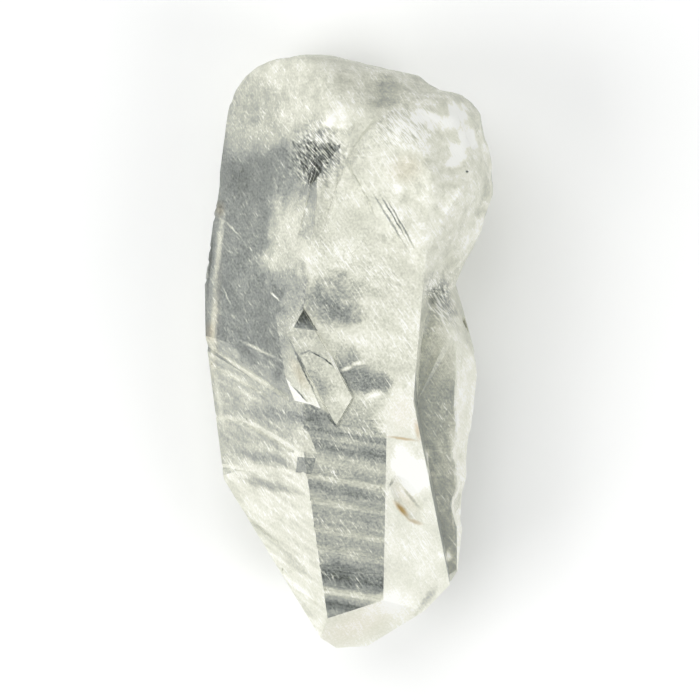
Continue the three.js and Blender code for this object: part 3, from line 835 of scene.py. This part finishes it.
STAIN_SOFT = 0.9
stain = 0.0
for middle, reach, turn, share in STAINS.values():
    rusty = {0: spot(middle, reach, turn, STAIN_SOFT), 1: share, 2: stain}
    stain = add(tree, "ShaderNodeMath", rusty, operation="MULTIPLY_ADD").outputs[0]
print("stains:", len(STAINS))

# %% [markdown]
# ## From milk to a finish
# Clear quartz is almost colourless, but its grey here is painted shade in the colour: it stands in for the
# darker surroundings seen through it. The milky part is a greenish cream. Etching and wear left the
# surface satin where it is clean and frosted where it is milky or worn. A smoother clear surface counts
# as a mirror to the denoiser, which then leaves dots where the milk changes, so the roughness is 0.28
# or more. Transmission falls as the milk rises, and a faint grey absorption inside makes thick parts
# darker than thin ones. The hairlines are also felt as a fine bump.

# %% Colour
# The greys at low milk are painted shade, the darker room and floor seen through clear quartz; the creams
# above are the quartz's own colour, and the white at the top also serves the painted glare.
QUARTZ_AND_PAINTED_SHADE_COLOURS = {
    0.0: "#5f6463",
    0.15: "#878c8c",
    0.3: "#a8aeae",
    0.5: "#c4c8c3",
    0.7: "#dadbcb",
    0.85: "#ebebda",
    0.97: "#f7f6ea",
    1.0: "#fdfdf8",
}
STAIN_COLOUR = "#b7913c"
ramp = add(tree, "ShaderNodeValToRGB", {0: milk_and_painted_light})
stops = ramp.color_ramp.elements
stops.remove(stops[1])
for position, colour in QUARTZ_AND_PAINTED_SHADE_COLOURS.items():
    stop = stops.new(position) if position else stops[0]
    stop.color = linear(colour)
tinted = {0: stain, 6: ramp.outputs[0], 7: linear(STAIN_COLOUR)}  # a Mix has its colours at 6 and 7
colour = add(tree, "ShaderNodeMix", tinted, data_type="RGBA").outputs[2]
print("colours:", len(stops))

# %% Gloss, transmission and shader
ROUGHNESS = (0.2, 1.0, 0.28, 0.4)  # two values of the milk, and the roughness at each
WORN_ROUGHNESS = 0.12  # added where the crystal is worn
TRANSMISSION = (0.15, 0.95, 0.92, 0.12)  # two values of the milk, and the transmission at each
HAIR_BUMP, HAIR_DEPTH = 0.35, 0.1 * MM
ABSORBED, ABSORPTION = "#c8cdc6", 12.0  # the colour that is left, and how fast, for each metre
bump = {"Height": hair, "Strength": HAIR_BUMP, "Distance": HAIR_DEPTH}
satin = add(tree, "ShaderNodeMapRange", dict(enumerate((milk_and_painted_light, *ROUGHNESS)))).outputs[0]
frosted = {0: worn, 1: WORN_ROUGHNESS, 2: satin}
clear = add(tree, "ShaderNodeMapRange", dict(enumerate((milk_and_painted_light, *TRANSMISSION)))).outputs[0]
finish = {
    "Base Color": colour,
    "Roughness": add(tree, "ShaderNodeMath", frosted, operation="MULTIPLY_ADD").outputs[0],
    "Transmission Weight": clear,
    "IOR": 1.544,
    "Normal": add(tree, "ShaderNodeBump", bump).outputs[0],
}
shader = add(tree, "ShaderNodeBsdfPrincipled", finish)
inside = add(tree, "ShaderNodeVolumeAbsorption", {"Color": linear(ABSORBED), "Density": ABSORPTION})
add(tree, "ShaderNodeOutputMaterial", {"Surface": shader.outputs[0], "Volume": inside.outputs[0]})
print("quartz:", len(tree.nodes), "nodes")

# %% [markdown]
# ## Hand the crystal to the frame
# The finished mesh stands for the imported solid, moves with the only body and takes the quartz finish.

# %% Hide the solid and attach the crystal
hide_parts("quartz_point")
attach(crystal, "root")
